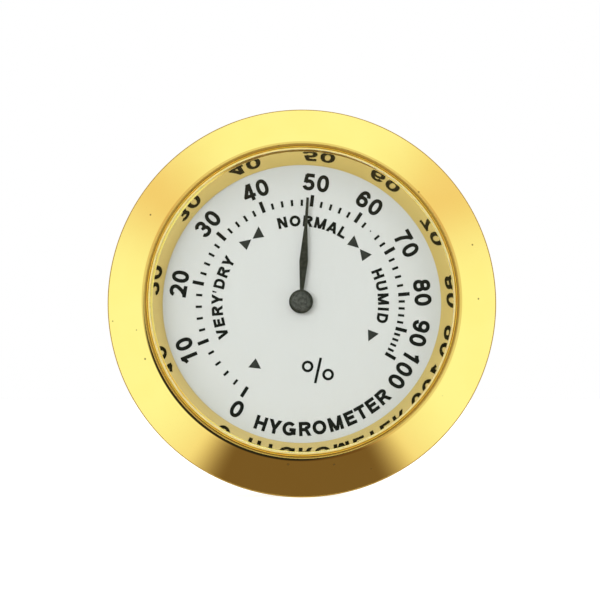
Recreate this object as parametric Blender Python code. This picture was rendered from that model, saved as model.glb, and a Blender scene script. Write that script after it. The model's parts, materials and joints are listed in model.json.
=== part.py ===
"""Press-in dial hygrometer, 45 mm bezel.

The dial faces -Y and its 50 % mark is up, +Z. The origin is on the case's axis, in the plane
where the bezel's flange seats on the panel. Pieces are modelled about a local axis that points
out of the dial: every height below is measured along it from the seat, in millimetres.
"""

import math

import bmesh
import bpy
from mathutils import Matrix, Vector

MM = 0.001

# Bezel and glass
BEZEL_R = 22.5
RIDGE_R = 18.3
BORE_R = 17.85
RIM_H = 0.92
RIDGE_H = 2.3
CONE_BULGE = 0.10
GLASS_LOW, GLASS_HIGH = 1.3, 2.1
GASKET_IN_R, GASKET_OUT_R = 17.35, 17.8

# Barrel
BARREL_R = 18.25
WALL = 0.5
FLANGE_R = 21.05
FLANGE_H = 0.4
BARREL_END_H = -10.7
LIP_IN_R = 16.6
GRIP_LOW, GRIP_HIGH = -7.4, -2.6
GRIP_RIBS = 4

# Dial and plates
REFLECTOR_LOW_R, REFLECTOR_HIGH_R = 16.3, 17.5
REFLECTOR_LOW_H, REFLECTOR_HIGH_H = -1.65, 1.2
DIAL_TOP_H, DIAL_THICK = -1.8, 0.4
PLATE_TOP_H, PLATE_THICK = -2.25, 0.6
INNER_R = 17.68
COVER_HIGH, COVER_LOW = -9.45, -10.15
COVER_HOLE_R = 2.3
VENTS = 10
VENT_IN, VENT_OUT, VENT_R = 6.5, 13.2, 0.75

# Movement. Its axis sits a little off the case's, as its loose fit in the barrel lets it.
MOVEMENT_X, MOVEMENT_Y = -0.1, 0.14
PILLAR_X = 10.25
PILLAR_R, TENON_R = 1.5, 0.75
SCREW_R, SCREW_HEAD_R, SCREW_HEAD = 0.73, 1.35, 0.65
BRIDGE_HIGH, BRIDGE_LOW = -7.8, -8.5
BUSH_R = 1.2
HUB_R, HUB_FLANGE_R, HUB_BOSS_R = 1.5, 2.6, 1.2
HUB_HIGH, HUB_END_H = -6.75, -10.05
HUB_BORE_END_H = -8.6
GROOVE_R, GROOVE_HIGH, GROOVE_LOW = 1.15, -8.85, -9.15
ARM_HIGH, ARM_LOW = -6.8, -7.2
ARM_REACH = 6.9
PIN_R, PIN_HIGH = 0.6, -3.6
COIL_TURNS = 4.5
COIL_THICK = 0.25
COIL_HIGH, COIL_LOW = -4.0, -6.4
COLLET_R = 1.05
SPINDLE_R = 0.38
BEARING_R = SPINDLE_R + 0.07

# Pointer
POINTER_CLOCKWISE_DEG = 3.65
POINTER_REACH = 12.25
POINTER_HIGH, POINTER_LOW = -0.78, -0.95
POINTER_HUB_R = 1.4

GAP = 0.05  # between pieces that touch
BEZEL_STEPS = 96
RING_STEPS = 60
SMALL_STEPS = 28
PIN_STEPS = 20


def clear_scene():
    for obj in list(bpy.data.objects):
        bpy.data.objects.remove(obj, do_unlink=True)


def material(name, color, roughness, metallic=0.0, transmission=0.0):
    made = bpy.data.materials.new(name)
    made.use_nodes = True
    shader = made.node_tree.nodes["Principled BSDF"]
    shader.inputs["Base Color"].default_value = (*color, 1.0)
    shader.inputs["Roughness"].default_value = roughness
    shader.inputs["Metallic"].default_value = metallic
    shader.inputs["Transmission Weight"].default_value = transmission
    made.diffuse_color = (*color, 1.0)
    return made


def empty(name, parent=None, location=(0, 0, 0), rotation=(0, 0, 0)):
    made = bpy.data.objects.new(name, None)
    made.empty_display_size = 5 * MM
    made.location = [value * MM for value in location]
    made.rotation_euler = rotation
    made.parent = parent
    bpy.context.collection.objects.link(made)
    return made


def add_object(name, shape, parent, finish, location=(0, 0, 0)):
    """An object from a bmesh in metres, smooth where its faces nearly line up."""
    bmesh.ops.recalc_face_normals(shape, faces=shape.faces)
    mesh = bpy.data.meshes.new(name)
    shape.to_mesh(mesh)
    shape.free()
    mesh.shade_smooth()
    mesh.set_sharp_from_angle(angle=math.radians(25))
    made = bpy.data.objects.new(name, mesh)
    made.location = [value * MM for value in location]
    made.parent = parent
    if finish:
        mesh.materials.append(finish)
    bpy.context.collection.objects.link(made)
    return made


def spun(outline, steps):
    """A closed outline of (radius, height) spun round the local Z axis."""
    shape = bmesh.new()
    points = [shape.verts.new((r * MM, 0, h * MM)) for r, h in outline]
    edges = [shape.edges.new(pair) for pair in zip(points, points[1:] + points[:1])]
    bmesh.ops.spin(
        shape, geom=points + edges, cent=(0, 0, 0), axis=(0, 0, 1), dvec=(0, 0, 0),
        angle=2 * math.pi, steps=steps, use_merge=True,
    )
    bmesh.ops.remove_doubles(shape, verts=shape.verts, dist=0.001 * MM)
    on_axis = [edge for edge in shape.edges if not edge.link_faces]
    bmesh.ops.delete(shape, geom=on_axis, context="EDGES")
    return shape


def turned(name, outline, parent, finish, steps=RING_STEPS, location=(0, 0, 0)):
    return add_object(name, spun(outline, steps), parent, finish, location)


def slab(outline, low, high):
    """An outline of (x, y) extruded from one height to another."""
    shape = bmesh.new()
    base = shape.faces.new([shape.verts.new((x * MM, y * MM, low * MM)) for x, y in outline])
    raised = bmesh.ops.extrude_face_region(shape, geom=[base])["geom"]
    moved = [item for item in raised if isinstance(item, bmesh.types.BMVert)]
    bmesh.ops.translate(shape, verts=moved, vec=(0, 0, (high - low) * MM))
    return shape


def arc(center, radius, start, end, steps):
    """Points along an arc, angles in degrees from +X."""
    turn = [math.radians(start + (end - start) * i / steps) for i in range(steps + 1)]
    return [(center[0] + radius * math.cos(a), center[1] + radius * math.sin(a)) for a in turn]


def circle(radius, steps=SMALL_STEPS, center=(0, 0)):
    return arc(center, radius, 0, 360, steps)[:-1]


def bowed(start, end, bulge, steps):
    """Points from start in to end, on a shallow arc that stands proud by bulge at its middle."""
    along = Vector(end) - Vector(start)
    out = Vector((along.y, -along.x)).normalized()
    points = []
    for i in range(steps + 1):
        t = i / steps
        points.append(tuple(Vector(start) + along * t + out * bulge * 4 * t * (1 - t)))
    return points


def link_outline(radius_a, radius_b, reach, steps=16):
    """Two circles, at the origin and at (0, -reach), and the tangents that join them."""
    lean = math.degrees(math.asin((radius_a - radius_b) / reach))
    top = arc((0, 0), radius_a, -lean, 180 + lean, steps)
    return top + arc((0, -reach), radius_b, 180 + lean, 360 - lean, steps)


def cut(target, shape, parent=None, location=(0, 0, 0)):
    """Cuts the shape out of the target and leaves the cutter in the file, hidden."""
    cutter = add_object(target.name + ".cut", shape, parent or target.parent, None, location)
    cutter.hide_render = True
    cutter.display_type = "WIRE"
    cutter.hide_set(True)
    step = target.modifiers.new("cut", "BOOLEAN")
    step.operation = "DIFFERENCE"
    step.solver = "EXACT"
    step.object = cutter
    return cutter


def round_cutter(radius, low, high, center=(0, 0), steps=SMALL_STEPS):
    return slab(circle(radius, steps, center), low, high)


def block(width, depth, low, high, center=(0, 0)):
    x, y = center
    half_w, half_d = width / 2, depth / 2
    corners = [(-half_w, -half_d), (half_w, -half_d), (half_w, half_d), (-half_w, half_d)]
    return slab([(x + dx, y + dy) for dx, dy in corners], low, high)


def build_case(axis, finishes):
    """Bezel, glass, barrel and the plates that stack inside it."""
    gold, glass, rubber = finishes["gold"], finishes["glass"], finishes["rubber"]

    cone = bowed((BEZEL_R - 0.1, RIM_H), (RIDGE_R + 0.05, RIDGE_H - 0.02), CONE_BULGE, 5)
    bezel = [
        (BORE_R, FLANGE_H + GAP), (FLANGE_R + GAP, FLANGE_H + GAP), (FLANGE_R + GAP, 0),
        (BEZEL_R - 0.12, 0), (BEZEL_R, 0.12), (BEZEL_R, RIM_H - 0.1), *cone,
        (RIDGE_R, RIDGE_H), (RIDGE_R - 0.35, RIDGE_H - 0.3), (BORE_R, RIDGE_H - 0.38),
    ]
    turned("bezel", bezel, axis, gold, BEZEL_STEPS)

    glass_r = GASKET_IN_R - GAP
    lens = [
        (0, GLASS_LOW), (glass_r, GLASS_LOW), (glass_r, GLASS_HIGH - 0.15),
        (glass_r - 0.15, GLASS_HIGH), (0, GLASS_HIGH),
    ]
    turned("lens", lens, axis, glass)
    gasket_low = REFLECTOR_HIGH_H + GAP
    gasket = [
        (GASKET_IN_R, gasket_low), (GASKET_OUT_R, gasket_low), (GASKET_OUT_R, GLASS_HIGH - 0.15),
        (GASKET_OUT_R - 0.1, GLASS_HIGH - 0.05), (GASKET_IN_R, GLASS_HIGH - 0.05),
    ]
    turned("lens_gasket", gasket, axis, finishes["nylon"])

    reflector = [
        (REFLECTOR_LOW_R, REFLECTOR_LOW_H), (REFLECTOR_HIGH_R, REFLECTOR_HIGH_H),
        (INNER_R, REFLECTOR_HIGH_H), (INNER_R, DIAL_TOP_H + GAP),
        (INNER_R - 0.45, DIAL_TOP_H + GAP), (INNER_R - 0.45, REFLECTOR_LOW_H),
    ]
    turned("reflector_ring", reflector, axis, gold)

    inside_r = BARREL_R - WALL
    barrel = [
        (inside_r, FLANGE_H), (FLANGE_R, FLANGE_H), (FLANGE_R, 0), (BARREL_R + 0.15, 0),
        (BARREL_R, -0.15), (BARREL_R, BARREL_END_H + 0.3), (BARREL_R - 0.3, BARREL_END_H),
        (LIP_IN_R, BARREL_END_H), (LIP_IN_R, BARREL_END_H + WALL),
        (inside_r, BARREL_END_H + WALL),
    ]
    turned("case_barrel", barrel, axis, finishes["steel"])

    root_r, crest_r = BARREL_R + 0.4, BARREL_R + 0.75
    pitch = (GRIP_HIGH - GRIP_LOW) / GRIP_RIBS
    ribs = []
    for i in range(GRIP_RIBS):
        low = GRIP_LOW + pitch * i
        ribs += [(root_r, low), (crest_r, low + 0.35 * pitch), (crest_r, low + 0.5 * pitch)]
    grip = [(BARREL_R + GAP, GRIP_LOW), *ribs, (root_r, GRIP_HIGH), (BARREL_R + GAP, GRIP_HIGH)]
    turned("grip_ring", grip, axis, rubber)

    sleeve_low, sleeve_high = COVER_HIGH + GAP, PLATE_TOP_H - PLATE_THICK - GAP
    sleeve = [
        (INNER_R - 0.8, sleeve_low), (INNER_R, sleeve_low),
        (INNER_R, sleeve_high), (INNER_R - 0.8, sleeve_high),
    ]
    turned("support_ring", sleeve, axis, finishes["black"])


def build_plates(axis, movement, finishes):
    """Dial, movement plate and back cover, pierced about the movement's axis."""
    disc = slab(circle(INNER_R, RING_STEPS), DIAL_TOP_H - DIAL_THICK, DIAL_TOP_H)
    dial = add_object("dial_plate", disc, axis, finishes["dial"])
    cut(dial, round_cutter(BUSH_R + GAP, DIAL_TOP_H - 1, DIAL_TOP_H + 1), movement)

    disc = slab(circle(INNER_R, RING_STEPS), PLATE_TOP_H - PLATE_THICK, PLATE_TOP_H)
    plate = add_object("movement_plate", disc, axis, finishes["brass"])
    cut(plate, round_cutter(BUSH_R + GAP, PLATE_TOP_H - 1, PLATE_TOP_H + 1), movement)
    for side in (-1, 1):
        place = (side * PILLAR_X, 0)
        hole = round_cutter(TENON_R + GAP, PLATE_TOP_H - 1, PLATE_TOP_H + 1, place, PIN_STEPS)
        cut(plate, hole, movement)

    disc = slab(circle(INNER_R, RING_STEPS), COVER_LOW, COVER_HIGH)
    cover = add_object("back_cover", disc, axis, finishes["black"])
    cut(cover, round_cutter(COVER_HOLE_R, COVER_LOW - 1, COVER_HIGH + 1), movement)
    vents = bmesh.new()
    ends = arc((0, VENT_IN), VENT_R, 180, 360, 6) + arc((0, VENT_OUT), VENT_R, 0, 180, 6)
    for i in range(VENTS):
        slot = slab(ends, COVER_LOW - 1, COVER_HIGH + 1)
        bmesh.ops.transform(
            slot, matrix=Matrix.Rotation(2 * math.pi * i / VENTS, 4, "Z"), verts=slot.verts
        )
        piece = bpy.data.meshes.new("vent")
        slot.to_mesh(piece)
        slot.free()
        vents.from_mesh(piece)
        bpy.data.meshes.remove(piece)
    cut(cover, vents)


def build_movement(movement, finishes):
    """Front bearing, pillars, rear bridge and its screws."""
    brass, steel = finishes["brass"], finishes["steel"]
    flange_high = PLATE_TOP_H - PLATE_THICK - GAP
    bush = [
        (BEARING_R, DIAL_TOP_H + GAP), (BUSH_R, DIAL_TOP_H + GAP), (BUSH_R, flange_high),
        (BUSH_R + 0.8, flange_high), (BUSH_R + 0.8, flange_high - 0.4),
        (BEARING_R, flange_high - 0.4),
    ]
    turned("front_bearing_bush", bush, movement, brass, SMALL_STEPS)

    pillar_low = BRIDGE_HIGH + GAP
    tapped_r, tapped_high = SCREW_R + 0.07, pillar_low + 2.3
    pillar = [
        (0, PLATE_TOP_H), (TENON_R, PLATE_TOP_H), (TENON_R, flange_high), (PILLAR_R, flange_high),
        (PILLAR_R, pillar_low), (tapped_r, pillar_low), (tapped_r, tapped_high), (0, tapped_high),
    ]
    head_high, tip = BRIDGE_LOW - GAP, tapped_high - 0.2
    head_low = head_high - SCREW_HEAD
    screw = [
        (0, tip), (SCREW_R - 0.2, tip), (SCREW_R, tip - 0.2), (SCREW_R, head_high),
        (SCREW_HEAD_R, head_high), (SCREW_HEAD_R, head_low + 0.1), (SCREW_HEAD_R - 0.15, head_low),
        (0, head_low),
    ]
    for side, x, slot_turn in (("left", -PILLAR_X, 25), ("right", PILLAR_X, 70)):
        turned("pillar_" + side, pillar, movement, brass, PIN_STEPS, (x, 0, 0))
        made = turned("bridge_screw_" + side, screw, movement, steel, PIN_STEPS, (x, 0, 0))
        slot = cut(made, block(4, 0.35, head_low - 1, head_low + 0.3), None, (x, 0, 0))
        slot.rotation_euler.z = math.radians(slot_turn)

    half = 2.4
    bar = arc((PILLAR_X, 0), half, -90, 90, 10) + arc((-PILLAR_X, 0), half, 90, 270, 10)
    bridge = add_object("movement_bridge", slab(bar, BRIDGE_LOW, BRIDGE_HIGH), movement, brass)
    cut(bridge, round_cutter(HUB_R + GAP, BRIDGE_LOW - 1, BRIDGE_HIGH + 1))
    for side in (-1, 1):
        place = (side * PILLAR_X, 0)
        cut(bridge, round_cutter(SCREW_R + 0.12, BRIDGE_LOW - 1, BRIDGE_HIGH + 1, place, PIN_STEPS))


def build_calibration(axis, finishes):
    """The hub that turns in the bridge and carries the coil's outer end."""
    brass, steel = finishes["brass"], finishes["steel"]
    flange_low, shoulder = BRIDGE_HIGH + GAP, ARM_LOW - GAP
    hub = [
        (0, HUB_BORE_END_H), (BEARING_R, HUB_BORE_END_H), (BEARING_R, HUB_HIGH),
        (HUB_BOSS_R, HUB_HIGH), (HUB_BOSS_R, shoulder), (HUB_FLANGE_R, shoulder),
        (HUB_FLANGE_R, flange_low), (HUB_R, flange_low), (HUB_R, GROOVE_HIGH),
        (GROOVE_R, GROOVE_HIGH), (GROOVE_R, GROOVE_LOW), (HUB_R, GROOVE_LOW),
        (HUB_R, HUB_END_H + 0.12), (HUB_R - 0.12, HUB_END_H), (0, HUB_END_H),
    ]
    made = turned("calibration_hub", hub, axis, brass, SMALL_STEPS)
    cut(made, block(4, 0.5, HUB_END_H - 1, HUB_END_H + 0.5))

    outline = link_outline(2.4, PIN_R + 0.3, ARM_REACH, 12)
    arm = add_object("calibration_arm", slab(outline, ARM_LOW, ARM_HIGH), axis, steel)
    cut(arm, round_cutter(HUB_BOSS_R + GAP, ARM_LOW - 1, ARM_HIGH + 1))
    pin_place = (0, -ARM_REACH)
    cut(arm, round_cutter(PIN_R + GAP, ARM_LOW - 1, ARM_HIGH + 1, pin_place, PIN_STEPS))

    pin = [
        (0, PIN_HIGH), (PIN_R - 0.1, PIN_HIGH), (PIN_R, PIN_HIGH - 0.1), (PIN_R, shoulder),
        (PIN_R + 0.3, shoulder), (PIN_R + 0.3, shoulder - 0.25), (0, shoulder - 0.25),
    ]
    made = turned("coil_anchor_pin", pin, axis, brass, PIN_STEPS, (*pin_place, 0))
    cut(made, block(4, 2 * COIL_THICK, COIL_LOW - 0.1, PIN_HIGH + 1), None, (*pin_place, 0))

    washer_high = BRIDGE_LOW - GAP
    washer = [
        (HUB_R + GAP, washer_high), (HUB_R + 1, washer_high),
        (HUB_R + 1, washer_high - 0.2), (HUB_R + GAP, washer_high - 0.2),
    ]
    turned("friction_washer", washer, axis, steel, SMALL_STEPS)
    clip = arc((0, 0), HUB_R + 0.65, -60, 240, 20) + arc((0, 0), GROOVE_R + GAP, 240, -60, 20)
    clip = slab(clip, GROOVE_LOW + GAP, GROOVE_HIGH - GAP)
    add_object("hub_retaining_clip", clip, axis, steel)


def coil_outline():
    """The strip's outline seen along the axis: an even spiral from the collet to the pin."""
    inner = COLLET_R + GAP + COIL_THICK / 2
    pitch = (ARM_REACH - inner) / COIL_TURNS
    end = math.radians(-90)
    start = end - 2 * math.pi * COIL_TURNS
    past_pin = 0.14
    steps = round(22 * COIL_TURNS)
    outside, inside = [], []
    for i in range(steps + 1):
        turn = start + (end + past_pin - start) * i / steps
        middle = inner + pitch * (turn - start) / (2 * math.pi)
        for side, points in ((1, outside), (-1, inside)):
            r = middle + side * COIL_THICK / 2
            points.append((r * math.cos(turn), r * math.sin(turn)))
    return outside + inside[::-1]


def build_pointer(axis, finishes):
    """Spindle, coil and pointer, which turn together in the two bearings."""
    steel, brass, dark = finishes["steel"], finishes["brass"], finishes["dark"]
    r, pivot = SPINDLE_R, HUB_BORE_END_H + 0.1
    collar_low, collar_high = HUB_HIGH + GAP, HUB_HIGH + 0.2
    front = POINTER_HIGH - 0.07
    spindle = [
        (0, pivot), (r - 0.1, pivot), (r, pivot + 0.15), (r, collar_low), (0.62, collar_low),
        (0.62, collar_high), (r, collar_high), (r, front - 0.1), (r - 0.08, front), (0, front),
    ]
    turned("spindle", spindle, axis, steel, PIN_STEPS)
    collet_low, collet_high = COIL_LOW - 0.1, COIL_HIGH + 0.15
    collet = [
        (r + GAP, collet_low), (COLLET_R, collet_low), (COLLET_R, collet_high - 0.1),
        (COLLET_R - 0.1, collet_high), (r + GAP, collet_high),
    ]
    turned("coil_collet", collet, axis, brass, PIN_STEPS)

    half_widths = ((POINTER_HUB_R, 0.23), (4.75, 0.51), (8.85, 0.19), (POINTER_REACH, 0.155))
    side = []
    for (r0, w0), (r1, w1) in zip(half_widths, half_widths[1:]):
        for i in range(6):
            ease = (1 - math.cos(math.pi * i / 6)) / 2
            side.append((w0 + (w1 - w0) * ease, r0 + (r1 - r0) * i / 6))
    side.append((half_widths[-1][1], POINTER_REACH))
    neck = math.degrees(math.asin(half_widths[0][1] / POINTER_HUB_R))
    ring = arc((0, 0), POINTER_HUB_R, 90 + neck, 450 - neck, SMALL_STEPS)
    blade = ring[:-1] + side + [(-x, y) for x, y in side[:0:-1]]
    made = add_object("pointer", slab(blade, POINTER_LOW, POINTER_HIGH), axis, dark)
    stem_r, stem_low = 0.75, DIAL_TOP_H + 0.15
    cut(made, round_cutter(stem_r + GAP, POINTER_LOW - 1, POINTER_HIGH + 1, steps=PIN_STEPS))

    under = POINTER_HIGH + GAP / 2
    dome = bowed((POINTER_HUB_R, under + 0.15), (0, under + 0.5), 0.1, 5)
    boss = [
        (0, front + GAP), (r + GAP, front + GAP), (r + GAP, stem_low), (stem_r, stem_low),
        (stem_r, under), (POINTER_HUB_R, under), *dome,
    ]
    turned("pointer_hub", boss, axis, dark, SMALL_STEPS)


def build_coil(axis, finishes):
    add_object("humidity_coil", slab(coil_outline(), COIL_LOW, COIL_HIGH), axis, finishes["strip"])


def main():
    clear_scene()
    finishes = {
        "gold": material("polished_gold", (0.86, 0.62, 0.22), 0.12, 1.0),
        "glass": material("clear_glass", (0.98, 0.99, 0.98), 0.02, transmission=1.0),
        "nylon": material("pale_nylon", (0.78, 0.75, 0.64), 0.4),
        "steel": material("plated_steel", (0.62, 0.62, 0.60), 0.3, 1.0),
        "brass": material("machined_brass", (0.78, 0.58, 0.26), 0.28, 1.0),
        "dial": material("brushed_silver_dial", (0.66, 0.66, 0.62), 0.45, 0.3),
        "dark": material("dark_pointer", (0.05, 0.05, 0.045), 0.35, 0.4),
        "black": material("black_plastic", (0.02, 0.02, 0.02), 0.45),
        "rubber": material("black_rubber", (0.03, 0.03, 0.03), 0.75),
        "strip": material("humidity_strip", (0.72, 0.50, 0.32), 0.35, 0.9),
    }
    case_axis = empty("case_axis", rotation=(math.pi / 2, 0, 0))
    movement_axis = empty("movement_axis", case_axis, (MOVEMENT_X, MOVEMENT_Y, 0))
    calibration_axis = empty("calibration_axis", movement_axis)
    clockwise = (0, 0, -math.radians(POINTER_CLOCKWISE_DEG))
    pointer_axis = empty("pointer_axis", calibration_axis, rotation=clockwise)

    build_case(case_axis, finishes)
    build_plates(case_axis, movement_axis, finishes)
    build_movement(movement_axis, finishes)
    build_calibration(calibration_axis, finishes)
    build_pointer(pointer_axis, finishes)
    build_coil(calibration_axis, finishes)
    bpy.context.view_layer.update()


main()
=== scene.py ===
"""Looks for the press-in dial hygrometer: polished bezel, crystal, printed dial, coil and light.

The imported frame's unit is the metre. Helpers here take millimetres about the case's axis: x to the
right, y up, and h out of the dial, towards -Y in the frame.
"""
import json
import math

import bmesh
import bpy
import numpy as np
from mathutils import Matrix, Vector


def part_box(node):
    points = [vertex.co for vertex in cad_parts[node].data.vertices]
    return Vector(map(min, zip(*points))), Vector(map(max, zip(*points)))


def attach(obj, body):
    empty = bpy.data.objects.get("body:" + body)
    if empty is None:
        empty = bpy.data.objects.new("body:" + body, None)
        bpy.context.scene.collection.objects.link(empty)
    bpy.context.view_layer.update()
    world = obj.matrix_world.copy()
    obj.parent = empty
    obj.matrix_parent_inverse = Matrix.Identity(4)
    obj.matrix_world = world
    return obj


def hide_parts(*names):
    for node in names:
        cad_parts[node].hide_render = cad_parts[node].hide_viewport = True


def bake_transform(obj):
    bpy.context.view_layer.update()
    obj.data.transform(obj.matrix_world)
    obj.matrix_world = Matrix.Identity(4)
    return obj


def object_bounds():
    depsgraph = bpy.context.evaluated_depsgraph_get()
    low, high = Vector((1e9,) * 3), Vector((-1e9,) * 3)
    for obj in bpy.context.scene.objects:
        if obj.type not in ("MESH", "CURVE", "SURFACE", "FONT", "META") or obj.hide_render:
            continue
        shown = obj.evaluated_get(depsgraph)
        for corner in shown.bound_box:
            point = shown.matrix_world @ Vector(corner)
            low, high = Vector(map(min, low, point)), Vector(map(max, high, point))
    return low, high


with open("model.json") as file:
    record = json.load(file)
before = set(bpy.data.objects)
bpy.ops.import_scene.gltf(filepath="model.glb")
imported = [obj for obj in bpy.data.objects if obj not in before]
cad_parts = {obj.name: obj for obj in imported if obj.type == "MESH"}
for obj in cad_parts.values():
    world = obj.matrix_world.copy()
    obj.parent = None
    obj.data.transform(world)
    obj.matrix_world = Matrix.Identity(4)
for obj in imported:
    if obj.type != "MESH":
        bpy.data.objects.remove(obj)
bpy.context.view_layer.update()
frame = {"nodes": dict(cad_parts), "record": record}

MM = 0.001
FINE_STEPS = 288
SMALL_STEPS = 96
OUT_OF_DIAL = Matrix.Rotation(math.pi / 2, 4, "X")  # local (x, y, h) to the frame

JOINTS = {joint["name"]: joint for joint in frame["record"]["behaviour"]["joints"]}
PIVOT_X, _, PIVOT_Y = (value / MM for value in JOINTS["pointer_turn"]["pos_m"])


def heights(node):
    """Lowest and highest h of a CAD node, in mm."""
    low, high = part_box(node)
    return -high[1] / MM, -low[1] / MM


def outer_radius(node):
    low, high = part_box(node)
    return (high[0] - low[0]) / 2 / MM


RIM_R = outer_radius("bezel")
SEAT_H, RIDGE_H = heights("bezel")
GLASS_LOW, GLASS_HIGH = heights("lens")
GASKET_LOW, GASKET_HIGH = heights("lens_gasket")
WALL_LOW, WALL_HIGH = heights("reflector_ring")
WALL_R = outer_radius("reflector_ring")
DIAL_H = heights("dial_plate")[1]
BARREL_LOW, BARREL_HIGH = heights("case_barrel")
FLANGE_R = outer_radius("case_barrel")
GRIP_LOW, GRIP_HIGH = heights("grip_ring")
GRIP_R = outer_radius("grip_ring")
COVER_LOW, COVER_HIGH = heights("back_cover")
POINTER_LOW, POINTER_HIGH = heights("pointer")
BOSS_LOW, BOSS_HIGH = heights("pointer_hub")
BOSS_R = outer_radius("pointer_hub")

# Shapes of the turned pieces that the frame's boxes don't give
RIM_H = 0.92
CONE_IN_R, CONE_IN_H = 18.44, 2.26
CONE_BULGE = 0.04
RIDGE_R = 18.12
RIDGE_RISE = 0.15  # the pressed ridge, and the glass in it, sit a little above the rim's centre
SEAT_R = 17.72
BARREL_R = 18.25
BARREL_WALL = 0.5
LIP_IN_R = 16.6
WALL_IN_LOW_R, WALL_IN_HIGH_R = 16.3, 17.36
WALL_LIP_DROP = 0.10
WALL_MOUTH_X, WALL_MOUTH_Y = 0.12, 0.12  # the wall's mouth isn't quite true to its foot
CRYSTAL_R = 17.51
POINTER_DEG = 3.65  # the needle's lean at rest, clockwise from straight up
POINTER_REACH = 12.25
HUB_HOLE_R = 2.3
VENTS, VENT_IN_R, VENT_OUT_R, VENT_HALF_WIDE = 10, 6.5, 13.2, 0.75
GRIP_RIBS = 4
STRIP_THICK, STRIP_TURNS, STRIP_IN_R, STRIP_OUT_R = 0.25, 4.5, 1.225, 6.9

# The print, about its own centre, which sits a little off the case's axis
PRINT_X, PRINT_Y = -0.19, -0.05
INK_THICK = 0.014
INK_SUNK = 0.004  # the ink's underside lies this far into the dial
TICK_IN_R, MINOR_OUT_R, MAJOR_OUT_R = 11.53, 12.27, 12.89
MINOR_WIDE, MAJOR_WIDE = 0.29, 0.42
# The marks for 0, 10 and so on to 100 %, clockwise from straight up: the scale isn't even
MAJOR_DEG = (-147.7, -111.6, -78.5, -49.5, -21.5, 6.5, 33.9, 59.3, 84.8, 104.5, 120.2)
NUMBER_R, NUMBER_CAP = 14.38, 2.03
NUMBER_LEAN_DEG = (-1.3, -0.95, -2.1, 0.4, 0, 0.9, 0.6, 1.3, 0, -0.6, 2.1)  # off its own mark
NUMBER_STROKE, NUMBER_ADVANCE = 0.215, 0.83  # shares of the cap height
WORD_STROKE, TITLE_STROKE = 0.25, 0.245
WORD_R, WORD_CAP = 9.76, 1.31
TITLE_R, TITLE_CAP = 14.62, 1.65


# ---------------------------------------------------------------- node and material helpers


class Graph:
    """Shorthand for building a node tree: new() sets or links each input it is given."""

    def __init__(self, tree):
        self.tree = tree

    def new(self, kind, inputs=None, **settings):
        made = self.tree.nodes.new("ShaderNode" + kind)
        for name, value in settings.items():
            setattr(made, name, value)
        for key, value in (inputs or {}).items():
            socket = made.inputs[key]
            if isinstance(value, bpy.types.NodeSocket):
                self.tree.links.new(value, socket)
            else:
                socket.default_value = value
        return made

    def math(self, operation, *values):
        return self.new("Math", dict(enumerate(values)), operation=operation).outputs[0]

    def remap(self, value, low, high, to_low=0.0, to_high=1.0, smooth=False):
        inputs = {0: value, 1: low, 2: high, 3: to_low, 4: to_high}
        kind = "SMOOTHSTEP" if smooth else "LINEAR"
        return self.new("MapRange", inputs, interpolation_type=kind).outputs[0]

    def mix(self, factor, first, second):
        made = self.new("Mix", data_type="RGBA")
        for key, value in ((0, factor), (6, first), (7, second)):
            if isinstance(value, bpy.types.NodeSocket):
                self.tree.links.new(value, made.inputs[key])
            else:
                made.inputs[key].default_value = value
        return made.outputs[2]

    def noise(self, vector, scale, detail=3.0, roughness=0.5, dimensions="3D"):
        key = "W" if dimensions == "1D" else "Vector"
        inputs = {key: vector, "Scale": scale, "Detail": detail, "Roughness": roughness}
        return self.new("TexNoise", inputs, noise_dimensions=dimensions).outputs[0]


def grey(value):
    return (value, value, value, 1.0)


def start_material(name, color, roughness, metallic=0.0, **values):
    """A Principled material, its graph and its position in mm."""
    made = bpy.data.materials.new(name)
    made.use_nodes = True
    graph = Graph(made.node_tree)
    shader = made.node_tree.nodes["Principled BSDF"]
    shader.inputs["Base Color"].default_value = (*color, 1.0)
    shader.inputs["Roughness"].default_value = roughness
    shader.inputs["Metallic"].default_value = metallic
    for key, value in values.items():
        shader.inputs[key.replace("_", " ")].default_value = value
    place = graph.new("TexCoord").outputs["Object"]
    place_mm = graph.new("VectorMath", {0: place, "Scale": 1 / MM}, operation="SCALE").outputs[0]
    return made, graph, shader, place_mm


def stretched(graph, place_mm, x, y, z):
    return graph.new("VectorMath", {0: place_mm, 1: (x, y, z)}, operation="MULTIPLY").outputs[0]


def axis_radius(graph, place_mm):
    """Distance from the case's axis, in mm."""
    flat = stretched(graph, place_mm, 1, 0, 1)
    return graph.new("VectorMath", {0: flat}, operation="LENGTH").outputs["Value"]


def bump(graph, shader, height, strength, distance_mm):
    inputs = {"Height": height, "Strength": strength, "Distance": distance_mm * MM}
    made = graph.new("Bump", inputs)
    graph.tree.links.new(made.outputs[0], shader.inputs["Normal"])


def link(graph, output, shader, name):
    graph.tree.links.new(output, shader.inputs[name])


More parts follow.
